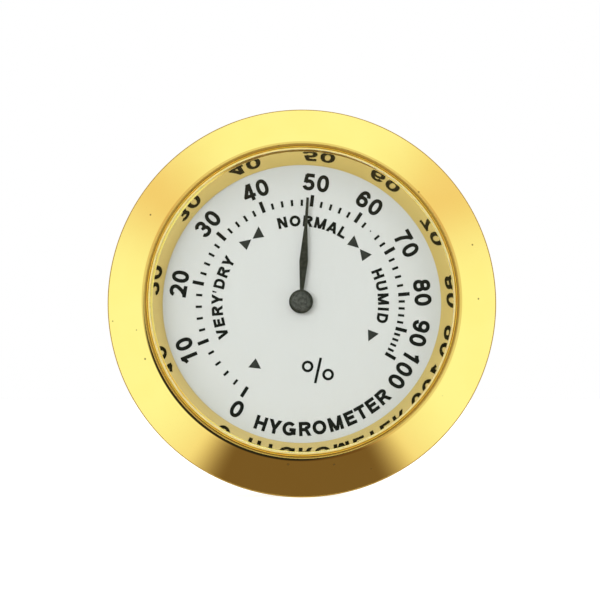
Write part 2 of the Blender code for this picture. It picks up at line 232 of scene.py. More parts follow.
def gold_material(name, color, roughness, grooves, wear):
    """Bright gold plate: faint spinning lines, soft tone drift and sparse dark pits."""
    made, graph, shader, place = start_material(name, color, roughness, 1.0)
    radius = axis_radius(graph, place)
    lines = graph.noise(radius, 2.2, 2.0, 0.6, "1D")
    drift = graph.noise(place, 0.16, 2.0)
    cloud = graph.noise(place, 1.3, 5.0, 0.6)
    pits = graph.new("TexVoronoi", {"Vector": place, "Scale": 0.42}, feature="F1").outputs[0]
    pit = graph.remap(pits, 0.035, 0.06, 1.0, 0.0)
    tone = graph.remap(drift, 0.4, 0.75)
    deep = tuple(channel * shade for channel, shade in zip(color, (0.985, 0.965, 0.90)))
    plate = graph.mix(tone, (*color, 1.0), (*deep, 1.0))
    dirt = graph.math("MULTIPLY", pit, wear)
    link(graph, graph.mix(dirt, plate, (0.16, 0.09, 0.03, 1.0)), shader, "Base Color")
    rough = graph.remap(cloud, 0.3, 0.7, roughness * 0.75, roughness * 1.35)
    link(graph, graph.math("ADD", rough, graph.math("MULTIPLY", pit, 0.3)), shader, "Roughness")
    relief = graph.math("ADD", graph.math("MULTIPLY", lines, grooves), drift)
    bump(graph, shader, relief, 0.12, 0.02)
    return made


def crystal_material():
    """Clear acrylic crystal. Lamps shine through it, so the dial under it is lit."""
    made, graph, shader, place = start_material(
        "clear_crystal", (0.975, 0.985, 0.975), 0.0, 0.0, Transmission_Weight=1.0, IOR=1.49
    )
    haze = graph.noise(place, 0.8, 4.0)
    link(graph, graph.remap(haze, 0.45, 0.75, 0.0, 0.012), shader, "Roughness")
    path = graph.new("LightPath")
    through = graph.new("BsdfTransparent", {0: (0.97, 0.98, 0.97, 1.0)})
    inputs = {0: path.outputs["Is Shadow Ray"], 1: shader.outputs[0], 2: through.outputs[0]}
    mixed = graph.new("MixShader", inputs)
    out = made.node_tree.nodes["Material Output"]
    graph.tree.links.new(mixed.outputs[0], out.inputs["Surface"])
    return made


def nylon_material():
    made, graph, shader, place = start_material(
        "pale_nylon", (0.58, 0.45, 0.15), 0.32, 0.0, Subsurface_Weight=0.25, Subsurface_Scale=0.0006
    )
    grain = graph.noise(place, 2.2, 4.0)
    link(graph, graph.mix(grain, (0.66, 0.52, 0.17, 1), (0.50, 0.38, 0.12, 1)), shader, "Base Color")
    bump(graph, shader, grain, 0.2, 0.01)
    return made


def dial_material():
    """Pale silvered dial: fine upright brushing under a thin lacquer, with painted shade that makes it
    darker and a little bluer towards its edge under the wall.
    """
    made, graph, shader, place = start_material("brushed_dial", (0.72, 0.725, 0.71), 0.5, 0.1)
    brush = graph.noise(stretched(graph, place, 11.0, 1.0, 0.28), 1.0, 5.0, 0.75)
    fine = graph.noise(stretched(graph, place, 34.0, 1.0, 0.7), 1.0, 3.0, 0.7)
    both = graph.math("MULTIPLY_ADD", fine, 0.5, graph.math("MULTIPLY", brush, 0.5))
    streak = graph.remap(both, 0.36, 0.64)
    tone = graph.mix(streak, (0.765, 0.755, 0.768, 1), (0.709, 0.70, 0.706, 1))
    # painted shade: from 12.5 mm out to the edge under the wall, the dial is given a darker, bluer
    # tone
    edge = graph.remap(axis_radius(graph, place), 12.5, 16.6, 0.0, 1.0, smooth=True)
    link(graph, graph.mix(edge, tone, (0.66, 0.665, 0.68, 1)), shader, "Base Color")
    link(graph, graph.remap(streak, 0, 1, 0.42, 0.58), shader, "Roughness")
    bump(graph, shader, streak, 0.15, 0.008)
    return made


def ink_material(name, color):
    """Screen-printed ink, slightly uneven where the brushing shows through."""
    made, graph, shader, place = start_material(name, color, 0.55, Specular_IOR_Level=0.12)
    worn = graph.noise(stretched(graph, place, 9.0, 1.0, 1.2), 1.0, 4.0, 0.7)
    lighter = tuple(channel * 1.9 + 0.004 for channel in color)
    mask = graph.remap(worn, 0.52, 0.8)
    link(graph, graph.mix(mask, (*color, 1.0), (*lighter, 1.0)), shader, "Base Color")
    link(graph, graph.remap(worn, 0.3, 0.7, 0.38, 0.6), shader, "Roughness")
    bump(graph, shader, worn, 0.2, 0.004)
    return made


def pointer_material():
    """Dark cast-looking finish, mottled. Painted sheen makes the boss's dome lighter; painted shade
    makes its edge ring and the needle beyond it nearly black, over the needle's own dark colour.
    """
    made, graph, shader, place = start_material(
        "dark_pointer", (0.045, 0.045, 0.042), 0.34, Specular_IOR_Level=0.25
    )
    speck = graph.noise(place, 2.6, 5.0, 0.7)
    patch = graph.remap(speck, 0.42, 0.6)
    # painted sheen and shade: a lighter tone on the boss, nearly black from its edge ring outward
    # along the needle
    shifted = graph.new("VectorMath", {0: place, 1: (PIVOT_X, 0, PIVOT_Y)}, operation="SUBTRACT")
    edge = graph.remap(axis_radius(graph, shifted.outputs[0]), 0.95, 1.2, smooth=True)
    boss = graph.mix(patch, (0.042, 0.043, 0.037, 1), (0.095, 0.096, 0.086, 1))
    painted_shade_tone = graph.mix(patch, (0.014, 0.015, 0.009, 1), (0.045, 0.045, 0.034, 1))
    link(graph, graph.mix(edge, boss, painted_shade_tone), shader, "Base Color")
    link(graph, graph.remap(speck, 0.3, 0.7, 0.28, 0.42), shader, "Roughness")
    bump(graph, shader, speck, 0.3, 0.006)
    return made


def turned_metal(name, color, roughness, lines_per_mm):
    """Turned or drawn metal with tool lines round its axis, along h as well as across."""
    made, graph, shader, place = start_material(name, color, roughness, 1.0)
    radius = axis_radius(graph, place)
    along = graph.new("SeparateXYZ", {0: place}).outputs["Y"]
    lines = graph.noise(graph.math("ADD", radius, along), lines_per_mm, 4.0, 0.7, "1D")
    stain = graph.noise(place, 0.5, 4.0, 0.6)
    dull = tuple(channel * 0.78 for channel in color)
    mask = graph.remap(stain, 0.4, 0.75)
    link(graph, graph.mix(mask, (*color, 1.0), (*dull, 1.0)), shader, "Base Color")
    link(graph, graph.remap(stain, 0.3, 0.7, roughness * 0.8, roughness * 1.3), shader, "Roughness")
    bump(graph, shader, lines, 0.35, 0.012)
    return made


def moulded_material(name, color, roughness, grain_scale):
    """Moulded plastic or rubber: spark-eroded grain and slight handling shine."""
    made, graph, shader, place = start_material(name, color, roughness)
    grain = graph.noise(place, grain_scale, 4.0, 0.6)
    handled = graph.noise(place, 0.35, 3.0)
    lighter = tuple(channel * 1.6 + 0.004 for channel in color)
    link(graph, graph.mix(grain, (*color, 1.0), (*lighter, 1.0)), shader, "Base Color")
    shine = graph.remap(handled, 0.35, 0.7, roughness * 0.8, min(1.0, roughness * 1.2))
    link(graph, shine, shader, "Roughness")
    bump(graph, shader, grain, 0.4, 0.02)
    return made


def strip_material():
    """Coated strip of the coil: coppery, with faint rolling lines along it."""
    made, graph, shader, place = start_material("humidity_strip", (0.70, 0.42, 0.24), 0.36, 0.85)
    rolled = graph.noise(stretched(graph, place, 0.4, 14.0, 0.4), 1.0, 4.0, 0.7)
    blot = graph.noise(place, 0.7, 4.0)
    tone = graph.mix(graph.remap(blot, 0.35, 0.7), (0.72, 0.45, 0.26, 1), (0.55, 0.36, 0.22, 1))
    link(graph, tone, shader, "Base Color")
    link(graph, graph.remap(rolled, 0.3, 0.7, 0.28, 0.48), shader, "Roughness")
    bump(graph, shader, rolled, 0.3, 0.008)
    return made


GOLD = (0.95, 0.70, 0.215)
FINISH = {
    "bezel": gold_material("polished_gold", GOLD, 0.03, 0.5, 0.8),
    "wall": gold_material("mirror_gold", GOLD, 0.05, 0.25, 0.3),
    "crystal": crystal_material(),
    "nylon": nylon_material(),
    "dial": dial_material(),
    "ink": ink_material("dial_ink", (0.006, 0.007, 0.005)),
    "grey_ink": ink_material("zone_ink", (0.030, 0.032, 0.028)),
    "pointer": pointer_material(),
    "barrel": turned_metal("plated_barrel", (0.80, 0.60, 0.27), 0.26, 14.0),
    "brass": turned_metal("machined_brass", (0.80, 0.60, 0.29), 0.22, 18.0),
    "steel": turned_metal("plated_steel", (0.60, 0.60, 0.57), 0.28, 16.0),
    "plastic": moulded_material("black_plastic", (0.018, 0.018, 0.019), 0.42, 6.0),
    "rubber": moulded_material("black_rubber", (0.022, 0.021, 0.020), 0.66, 4.0),
    "strip": strip_material(),
}


# ---------------------------------------------------------------- shape helpers, in mm


SHARP_DEG, BEVEL_FROM_DEG = 30, 50


def piece(name, shape, finish, body, replaces=None, bevel=0):
    """An object from a bmesh in local mm, turned into the frame, riding on its body."""
    bmesh.ops.recalc_face_normals(shape, faces=shape.faces)
    shape.transform(OUT_OF_DIAL @ Matrix.Scale(MM, 4))
    mesh = bpy.data.meshes.new(name)
    shape.to_mesh(mesh)
    shape.free()
    mesh.shade_smooth()
    mesh.set_sharp_from_angle(angle=math.radians(SHARP_DEG))
    mesh.materials.append(FINISH[finish])
    made = bpy.data.objects.new(name, mesh)
    bpy.context.collection.objects.link(made)
    if bevel:
        edge = made.modifiers.new("edge", "BEVEL")
        edge.width = bevel * MM
        edge.segments = 3
        edge.limit_method = "ANGLE"
        edge.angle_limit = math.radians(BEVEL_FROM_DEG)
    normals = made.modifiers.new("normals", "WEIGHTED_NORMAL")  # flats stay flat next to fillets
    normals.keep_sharp = True
    if body:
        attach(made, body)
    if replaces:
        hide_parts(replaces)
    return made


def fillet(outline, radii, steps=5):
    """Rounds a closed outline's corners. radii maps a corner's index to its radius."""
    rounded = []
    for i, corner in enumerate(outline):
        radius = radii.get(i, 0)
        here = Vector(corner)
        back = Vector(outline[i - 1]) - here
        ahead = Vector(outline[(i + 1) % len(outline)]) - here
        if not radius:
            rounded.append(here)
            continue
        half = back.angle(ahead) / 2
        reach = min(radius / math.tan(half), 0.49 * back.length, 0.49 * ahead.length)
        radius = reach * math.tan(half)
        center = here + (back.normalized() + ahead.normalized()).normalized() * (
            radius / math.sin(half)
        )
        first = here + back.normalized() * reach - center
        last = here + ahead.normalized() * reach - center
        swing = first.angle_signed(last)
        for k in range(steps + 1):
            turn = -swing * k / steps
            rounded.append(center + Matrix.Rotation(turn, 2) @ first)
    return [tuple(point) for point in rounded]


def bowed(start, end, bulge, steps):
    """Points from start in to end, on a shallow arc that stands proud by bulge at its middle."""
    along = Vector(end) - Vector(start)
    out = Vector((along.y, -along.x)).normalized()
    points = []
    for i in range(steps + 1):
        t = i / steps
        points.append(tuple(Vector(start) + along * t + out * bulge * 4 * t * (1 - t)))
    return points


def spun(outline, steps=FINE_STEPS, center=(0, 0)):
    """A closed outline of (radius, h) spun round h. Points at radius 0 become poles."""
    shape = bmesh.new()
    rings = []
    for radius, h in outline:
        if radius < 1e-6:
            rings.append([shape.verts.new((*center, h))] * steps)
            continue
        turn = [2 * math.pi * k / steps for k in range(steps)]
        rings.append([
            shape.verts.new((center[0] + radius * math.cos(a), center[1] + radius * math.sin(a), h))
            for a in turn
        ])
    for ring, following in zip(rings, rings[1:] + rings[:1]):
        for k in range(steps):
            quad = [ring[k], ring[(k + 1) % steps], following[(k + 1) % steps], following[k]]
            corners = list(dict.fromkeys(quad))
            if len(corners) > 2:
                shape.faces.new(corners)
    return shape


def slab(outline, low, high):
    """An outline of (x, y) extruded from one h to another."""
    shape = bmesh.new()
    base = shape.faces.new([shape.verts.new((x, y, low)) for x, y in outline])
    raised = bmesh.ops.extrude_face_region(shape, geom=[base])["geom"]
    moved = [item for item in raised if isinstance(item, bmesh.types.BMVert)]
    bmesh.ops.translate(shape, verts=moved, vec=(0, 0, high - low))
    return shape


def arc(center, radius, start, end, steps):
    turn = [math.radians(start + (end - start) * k / steps) for k in range(steps + 1)]
    return [(center[0] + radius * math.cos(a), center[1] + radius * math.sin(a)) for a in turn]


def merged(shapes):
    """Several bmeshes as one."""
    whole = bmesh.new()
    for shape in shapes:
        mesh = bpy.data.meshes.new("part")
        shape.to_mesh(mesh)
        shape.free()
        whole.from_mesh(mesh)
        bpy.data.meshes.remove(mesh)
    return whole


def bare_object(name, shape):
    mesh = bpy.data.meshes.new(name)
    bmesh.ops.recalc_face_normals(shape, faces=shape.faces)
    shape.to_mesh(mesh)
    shape.free()
    made = bpy.data.objects.new(name, mesh)
    bpy.context.collection.objects.link(made)
    return made


def boolean(base, others, operation):
    """The base bmesh joined with, or cut by, each of the others. Returns a new bmesh."""
    target = bare_object("target", base)
    helpers = [bare_object("helper", other) for other in others]
    for helper in helpers:
        step = target.modifiers.new("step", "BOOLEAN")
        step.operation = operation
        step.solver = "EXACT"
        step.object = helper
    graph = bpy.context.evaluated_depsgraph_get()
    result = bmesh.new()
    result.from_object(target, graph)
    for helper in [target, *helpers]:
        mesh = helper.data
        bpy.data.objects.remove(helper, do_unlink=True)
        bpy.data.meshes.remove(mesh)
    return result


# ---------------------------------------------------------------- lettering

# Each glyph is a width and its parts, drawn on a cap height of 1 with stroke s. A part is a
# convex polygon, or a curved stroke given by its centre line, open or closed.


def bar(x0, y0, x1, y1, wide):
    """A straight stroke with level ends; wide is measured level."""
    half = wide / 2
    return ("polygon", [(x0 - half, y0), (x0 + half, y0), (x1 + half, y1), (x1 - half, y1)])


def level(x0, x1, y, s):
    return ("polygon", [(x0, y - s / 2), (x1, y - s / 2), (x1, y + s / 2), (x0, y + s / 2)])


def oval(cx, cy, rx, ry, start=0, end=360, steps=28, square=2.2):
    """Points on a slightly squared ellipse, angles in degrees anticlockwise from the right."""
    points = []
    for k in range(steps + 1):
        turn = math.radians(start + (end - start) * k / steps)
        c, s = math.cos(turn), math.sin(turn)
        x = math.copysign(abs(c) ** (2 / square), c)
        y = math.copysign(abs(s) ** (2 / square), s)
        points.append((cx + rx * x, cy + ry * y))
    return points


def stroke(points):
    return ("stroke", points)


def loop(points):
    return ("loop", points[:-1])


def glyph_parts(letter, s):
    """Width and parts of one glyph whose strokes are s wide."""
    w = 0.70
    h = s / 2
    left, low, high, mid = h, h, 1 - h, w / 2
    rx = (w - s) / 2
    diag = s * 1.1
    if letter == "0":
        return w, [loop(oval(mid, 0.5, rx, 0.5 - h))]
    if letter == "1":
        flag = [(0.12, 0.70), (0.25, 0.765), (0.36, 0.87), (0.41, 0.96)]
        return w, [bar(0.42, 0, 0.42, 1, s), stroke(flag)]
    if letter == "2":
        top = oval(mid, high - 0.235, rx, 0.235, 168, -22, 16)
        return w, [stroke(top + [(0.40, 0.30), (left + 0.06, low)]), level(0.02, w - 0.01, low, s)]
    if letter == "3":
        top = oval(mid - 0.01, high - 0.195, rx * 0.9, 0.195, 168, -86, 18)
        base = oval(mid, low + 0.215, rx, 0.215, 84, -168, 20)
        return w, [stroke(top), stroke(base), level(0.27, 0.42, 0.53, s * 0.82)]
    if letter == "4":
        stem = 0.49
        return w, [
            bar(stem, 0, stem, 1, s), level(0.0, w, 0.29, s * 0.92),
            bar(0.095, 0.27, stem - 0.04, 1.0, s * 1.15),
        ]
    if letter == "5":
        bowl = oval(mid, 0.33, rx, 0.33 - low, 142, -166, 20)
        side = [(0.215, high + 0.04), (0.155, 0.44)]
        return w, [level(0.17, w - 0.05, high, s), stroke(bowl), stroke(side)]
    if letter in "69":
        bowl = oval(mid, low + 0.225, rx, 0.225)
        hook = oval(mid, 0.5, rx, 0.5 - h, 205, 26, 20)
        if letter == "9":
            bowl = [(w - x, 1 - y) for x, y in bowl]
            hook = [(w - x, 1 - y) for x, y in hook]
        return w, [loop(bowl), stroke(hook)]
    if letter == "7":
        fall = [(0.60, 0.93), (0.42, 0.66), (0.31, 0.36), (0.265, -0.02)]
        return w, [level(0.03, w - 0.01, high, s), stroke(fall)]
    if letter == "8":
        top = oval(mid, high - 0.19, rx * 0.88, 0.19)
        return w, [loop(oval(mid, low + 0.215, rx, 0.215)), loop(top)]
    if letter == "O":
        return 0.98, [loop(oval(0.49, 0.5, 0.49 - h, 0.5 - h, square=2.05))]
    if letter == "G":
        w = 0.96
        ring = oval(0.48, 0.5, 0.48 - h, 0.5 - h, 40, 338, 30, 2.05)
        return w, [stroke(ring), level(0.50, w, 0.43, s), bar(w - h, 0.08, w - h, 0.5, s)]
    if letter == "N":
        w = 0.84
        return w, [bar(h, 0, h, 1, s), bar(w - h, 0, w - h, 1, s), bar(w - h, 0, h, 1, diag * 1.08)]
    if letter == "M":
        w = 1.0
        return w, [
            bar(h, 0, h, 1, s), bar(w - h, 0, w - h, 1, s), bar(w / 2, 0, h, 1, s),
            bar(w / 2, 0, w - h, 1, s),
        ]
    if letter == "R":
        bowl = [(h, high), (0.46, high), *oval(0.50, 0.725, 0.34 - h, high - 0.725, 80, -80, 12),
                (0.46, 0.45), (h, 0.45)]
        return 0.87, [bar(h, 0, h, 1, s), stroke(bowl), bar(0.745, 0, 0.50, 0.45, s * 1.15)]
    if letter == "A":
        w = 0.97
        return w, [
            bar(s * 0.55, 0, w / 2, 1, s * 1.1), bar(w - s * 0.55, 0, w / 2, 1, s * 1.1),
            level(0.24, w - 0.24, 0.29, s * 0.88),
        ]
    if letter == "V":
        w = 0.91
        return w, [bar(w / 2, 0, s * 0.55, 1, s * 1.1), bar(w / 2, 0, w - s * 0.55, 1, s * 1.1)]
    if letter == "Y":
        w = 0.93
        return w, [
            bar(w / 2, 0, w / 2, 0.46, s), bar(w / 2, 0.36, s * 0.58, 1, s * 1.16),
            bar(w / 2, 0.36, w - s * 0.58, 1, s * 1.16),
        ]
    if letter == "L":
        return 0.72, [bar(h, 0, h, 1, s), level(h, 0.72, low, s)]
    if letter == "H":
        w = 0.83
        return w, [bar(h, 0, h, 1, s), bar(w - h, 0, w - h, 1, s), level(h, w - h, 0.51, s)]
    if letter == "U":
        w = 0.84
        bowl = [(h, 1), (h, 0.40), *oval(w / 2, 0.37, w / 2 - h, 0.37 - h, 180, 360, 16),
                (w - h, 0.40), (w - h, 1)]
        return w, [stroke(bowl)]
    if letter == "I":
        return s, [bar(h, 0, h, 1, s)]
    if letter == "D":
        w = 0.85
        bowl = [(h, high), (0.36, high), *oval(0.38, 0.5, w - h - 0.38, 0.5 - h, 84, -84, 18),
                (0.36, low), (h, low)]
        return w, [bar(h, 0, h, 1, s), stroke(bowl)]
    if letter == "E":
        w = 0.75
        return w, [
            bar(h, 0, h, 1, s), level(h, w - 0.01, high, s), level(h, w - 0.07, 0.52, s),
            level(h, w, low, s),
        ]
    if letter == "T":
        return 0.79, [bar(0.395, 0, 0.395, 0.95, s), level(0, 0.79, high, s)]
    if letter == "'":  # a stray fleck of print between the two words
        return 0.15, [("polygon", [(0.0, 0.62), (0.11, 0.62), (0.19, 1.0), (0.02, 1.0)])]
    raise ValueError(f"no glyph for {letter}")


# Room on the left and right of each letter; straight stems stand further apart than round ones
BEARINGS = {
    "A": (0, 0), "D": (0.1, 0.05), "E": (0.1, 0.06), "G": (0.06, 0.08), "L": (0.1, 0.02),
    "O": (0.06, 0.06), "R": (0.1, 0.01), "T": (0.03, 0.03), "V": (0, 0), "Y": (0, 0), "'": (0, 0.1),
}


def offset_path(points, distance, closed):
    """Points moved sideways off a path, mitred at its corners."""
    path = [Vector(point) for point in points]
    moved = []
    for i, point in enumerate(path):
        before = path[i - 1] if closed or i else None
        after = path[(i + 1) % len(path)] if closed or i + 1 < len(path) else None
        sides = []
        for a, b in ((before, point), (point, after)):
            if a is not None and b is not None and (b - a).length > 1e-9:
                along = (b - a).normalized()
                sides.append(Vector((-along.y, along.x)))
        normal = sum(sides, Vector((0, 0))).normalized()
        stretch = min(2.0, 1 / max(0.3, normal.dot(sides[0])))
        moved.append(point + normal * distance * stretch)
    return moved


def part_shape(part, s, low, high):
    """One glyph part as a thin solid."""
    kind, points = part
    if kind == "polygon":
        return slab(points, low, high)
    one, other = (offset_path(points, side * s / 2, kind == "loop") for side in (1, -1))
    shape = bmesh.new()
    rows = [
        [shape.verts.new((*point, h)) for point in side]
        for side, h in ((one, low), (other, low), (other, high), (one, high))
    ]
    last = len(points) if kind == "loop" else len(points) - 1
    for row, following in zip(rows, rows[1:] + rows[:1]):
        for k in range(last):
            nxt = (k + 1) % len(points)
            shape.faces.new((row[k], row[nxt], following[nxt], following[k]))
    if kind == "stroke":
        shape.faces.new([row[0] for row in rows])
        shape.faces.new([row[-1] for row in rows])
    return shape


class Lettering:
    """Collects glyphs in layers, so that parts that cross are in different layers, then joins them."""

    def __init__(self):
        self.layers = []

    def glyph(self, letter, s, cap, center, turn_deg):
        """Adds one glyph, its cell's middle at center, turned clockwise."""
        width, parts = glyph_parts(letter, s)
        place = (
            Matrix.Translation((*center, 0)) @ Matrix.Rotation(-math.radians(turn_deg), 4, "Z")
            @ Matrix.Diagonal((cap, cap, 1, 1)) @ Matrix.Translation((-width / 2, -0.5, 0))
        )
        for depth, part in enumerate(parts):
            shape = part_shape(part, s, DIAL_H - INK_SUNK, DIAL_H + INK_THICK)
            shape.transform(place)
            if depth == len(self.layers):
                self.layers.append([])
            self.layers[depth].append(shape)

    def number(self, text, s, cap, radius, at_deg, advance):
        """A number set straight on the tangent at its angle, tops outward."""
        spin = Matrix.Rotation(-math.radians(at_deg), 2)
        for k, letter in enumerate(text):
            across = (k - (len(text) - 1) / 2) * advance * cap
            x, y = spin @ Vector((across, radius))
            self.glyph(letter, s, cap, (PRINT_X + x, PRINT_Y + y), at_deg)

    def curved(self, text, s, cap, radius, middle_deg, gap, upright=False, sink=0.0):
        """A word bent round the dial, tops outward, or inward along the bottom if upright. Its
        last letter sits closer in than its first one by sink."""
        run, cells = 0, []
        for letter in text:
            before, after = BEARINGS.get(letter, (0.1, 0.1))
            width = glyph_parts(letter, s)[0]
            cells.append((letter, run + before + width / 2))
            run += before + width + after + gap
        side = -1 if upright else 1
        for letter, place in cells:
            turn = middle_deg + side * math.degrees((place - (run - gap) / 2) * cap / radius)
            here = radius - sink * (place / run - 0.5)
            x = here * math.sin(math.radians(turn))
            y = here * math.cos(math.radians(turn))
            facing = turn - 180 if upright else turn
            self.glyph(letter, s, cap, (PRINT_X + x, PRINT_Y + y), facing)

    def joined(self):
        layers = [merged(layer) for layer in self.layers]
        return boolean(layers[0], layers[1:], "UNION") if len(layers) > 1 else layers[0]


def polar(radius, turn_deg):
    turn = math.radians(turn_deg)
    return PRINT_X + radius * math.sin(turn), PRINT_Y + radius * math.cos(turn)


def ink_slab(outline):
    return slab(outline, DIAL_H - INK_SUNK, DIAL_H + INK_THICK)


def tick(turn_deg, inner, outer, wide):
    across = Vector((math.cos(math.radians(turn_deg)), -math.sin(math.radians(turn_deg)))) * wide / 2
    low, high = Vector(polar(inner, turn_deg)), Vector(polar(outer, turn_deg))
    return ink_slab([low - across, low + across, high + across, high - across])


def scale_ticks():
    shapes = []
    for decade, (start, end) in enumerate(zip(MAJOR_DEG, MAJOR_DEG[1:])):
        shapes.append(tick(start, TICK_IN_R, MAJOR_OUT_R, MAJOR_WIDE))
        for k in range(1, 5):
            turn = start + (end - start) * k / 5
            if (decade, k) == (6, 2):  # the mark at 64 % hardly printed
                shapes.append(tick(turn, TICK_IN_R + 0.28, TICK_IN_R + 0.44, 0.16))
            else:
                shapes.append(tick(turn, TICK_IN_R, MINOR_OUT_R, MINOR_WIDE))
    shapes.append(tick(MAJOR_DEG[-1], TICK_IN_R, MAJOR_OUT_R, MAJOR_WIDE))
    return merged(shapes)


def zone_marks():
    """Triangles at the ends of the dry, normal and humid zones, each pointing out of its zone."""
    marks = (  # base and tip angle, then the radii of the base's ends and of the tip
        (-140.8, -149.1, 8.25, 9.63, 8.90), (-44.9, -37.2, 8.92, 10.26, 9.51),
        (-28.3, -36.3, 8.92, 10.36, 9.48), (38.3, 46.6, 8.86, 10.26, 9.52),
        (55.5, 47.3, 8.82, 10.22, 9.51), (110.9, 119.1, 8.48, 9.86, 9.11),
    )
    return merged([
        ink_slab([polar(inner, base), polar(outer, base), polar(tip, point)])
        for base, point, inner, outer, tip in marks
    ])


def percent_sign():
    shapes = []
    for x, y in ((0.67, -7.4), (3.07, -8.35)):
        ring = loop(oval(x, y, 0.53, 0.53, square=2.0, steps=40))
        shapes.append(part_shape(ring, 0.31, DIAL_H - INK_SUNK, DIAL_H + INK_THICK))
    foot, head = Vector((1.55, -9.36)), Vector((2.22, -6.38))
    across = Vector((0.155, -0.033))
    shapes.append(ink_slab([foot - across, foot + across, head + across, head - across]))
    return merged(shapes)


def print_dial():
    piece("scale_ticks", scale_ticks(), "ink", "case")
    piece("zone_marks", zone_marks(), "grey_ink", "case")
    piece("percent_sign", percent_sign(), "ink", "case")

    numbers = Lettering()
    for k, (turn, lean) in enumerate(zip(MAJOR_DEG, NUMBER_LEAN_DEG)):
        text = str(10 * k)
        numbers.number(text, NUMBER_STROKE, NUMBER_CAP, NUMBER_R, turn + lean, NUMBER_ADVANCE)
    piece("scale_numbers", numbers.joined(), "ink", "case")

    words = Lettering()
    words.curved("VERY'DRY", WORD_STROKE, WORD_CAP, WORD_R, -85.3, 0.10)
    words.curved("NORMAL", WORD_STROKE, WORD_CAP, WORD_R, 8.65, 0.08)
    words.curved("HUMID", WORD_STROKE, WORD_CAP, WORD_R, 84.4, 0.08)
    words.curved(
        "HYGROMETER", TITLE_STROKE, TITLE_CAP, TITLE_R, 168.5, 0.025, upright=True, sink=0.18
    )
    piece("scale_words", words.joined(), "ink", "case")


# ---------------------------------------------------------------- case


def build_bezel():
    cone = bowed((RIM_R - 0.13, RIM_H), (CONE_IN_R, CONE_IN_H), CONE_BULGE, 24)
    land = bowed(cone[-1], (RIDGE_R, RIDGE_H - 0.003), 0.004, 6)[1:]
    outline = [
        (SEAT_R, SEAT_H + 0.45), (FLANGE_R + 0.05, SEAT_H + 0.45), (FLANGE_R + 0.05, SEAT_H),
        (RIM_R - 0.12, SEAT_H), (RIM_R, SEAT_H + 0.12), (RIM_R, RIM_H - 0.13), *cone, *land,
        (SEAT_R + 0.02, RIDGE_H - 0.42), (SEAT_R, RIDGE_H - 0.46),
    ]
    ridge = 6 + len(cone) + len(land) - 1
    radii = {2: 0.06, 3: 0.1, 4: 0.1, 5: 0.12, 6: 0.1, ridge: 0.05, ridge + 1: 0.03}
    shape = spun(fillet(outline, radii))
    for corner in shape.verts:
        if corner.co.z > RIM_H:
            share = (RIM_R - corner.co.xy.length) / (RIM_R - RIDGE_R)
            corner.co.y += RIDGE_RISE * min(max(share, 0), 1)
    piece("bezel_ring", shape, "bezel", "case", "bezel")


def build_glass():
    outline = [
        (0, GLASS_LOW), (CRYSTAL_R, GLASS_LOW), (CRYSTAL_R, GLASS_HIGH - 0.04),
        (CRYSTAL_R - 0.04, GLASS_HIGH), (0, GLASS_HIGH),
    ]
    outline = fillet(outline, {1: 0.03, 2: 0.03, 3: 0.03}, 3)
    piece("crystal", spun(outline, center=(0, RIDGE_RISE)), "crystal", "case", "lens")
    inner, outer = CRYSTAL_R + 0.01, SEAT_R - 0.02
    outline = [
        (inner, GASKET_LOW), (outer, GASKET_LOW), (outer, GASKET_HIGH - 0.1), (inner, GASKET_HIGH),
    ]
    shape = spun(fillet(outline, {2: 0.02, 3: 0.02}, 3), center=(0, RIDGE_RISE))
    piece("crystal_gasket", shape, "nylon", "case", "lens_gasket")


def build_wall():
    outline = [
        (WALL_IN_LOW_R, WALL_LOW), (WALL_IN_HIGH_R, WALL_HIGH - WALL_LIP_DROP),
        (WALL_R, WALL_HIGH), (WALL_R, WALL_LOW),
    ]
    shape = spun(fillet(outline, {0: 0.03, 1: 0.06}, 6))
    for corner in shape.verts:
        if corner.co.xy.length < WALL_R - 0.01:
            rise = (corner.co.z - WALL_LOW) / (WALL_HIGH - WALL_LOW)
            corner.co.xy += Vector((WALL_MOUTH_X, WALL_MOUTH_Y)) * rise
    piece("mirror_wall", shape, "wall", "case", "reflector_ring")


def build_barrel():
    inside_r = BARREL_R - BARREL_WALL
    outline = [
        (inside_r, BARREL_HIGH), (FLANGE_R, BARREL_HIGH), (FLANGE_R, SEAT_H), (BARREL_R, SEAT_H),
        (BARREL_R, BARREL_LOW), (LIP_IN_R, BARREL_LOW), (LIP_IN_R, BARREL_LOW + BARREL_WALL),
        (inside_r, BARREL_LOW + BARREL_WALL),
    ]
    shape = spun(fillet(outline, {0: 0.1, 2: 0.06, 3: 0.25, 4: 0.45, 5: 0.1, 6: 0.1, 7: 0.1}, 6))
    piece("barrel_shell", shape, "barrel", "case", "case_barrel")

    root_r = BARREL_R + 0.4
    pitch = (GRIP_HIGH - GRIP_LOW) / GRIP_RIBS
    crests = []
    for k in range(GRIP_RIBS):
        for step in range(12):
            t = step / 12
            swell = max(0.0, math.sin(math.pi * min(t / 0.8, 1.0))) ** 0.7
            crests.append((root_r + (GRIP_R - root_r) * swell, GRIP_LOW + pitch * (k + t)))
    inner = BARREL_R + 0.05
    outline = [(inner, GRIP_LOW), *crests, (root_r, GRIP_HIGH), (inner, GRIP_HIGH)]
    piece("rubber_grip", spun(outline, 240), "rubber", "case", "grip_ring")


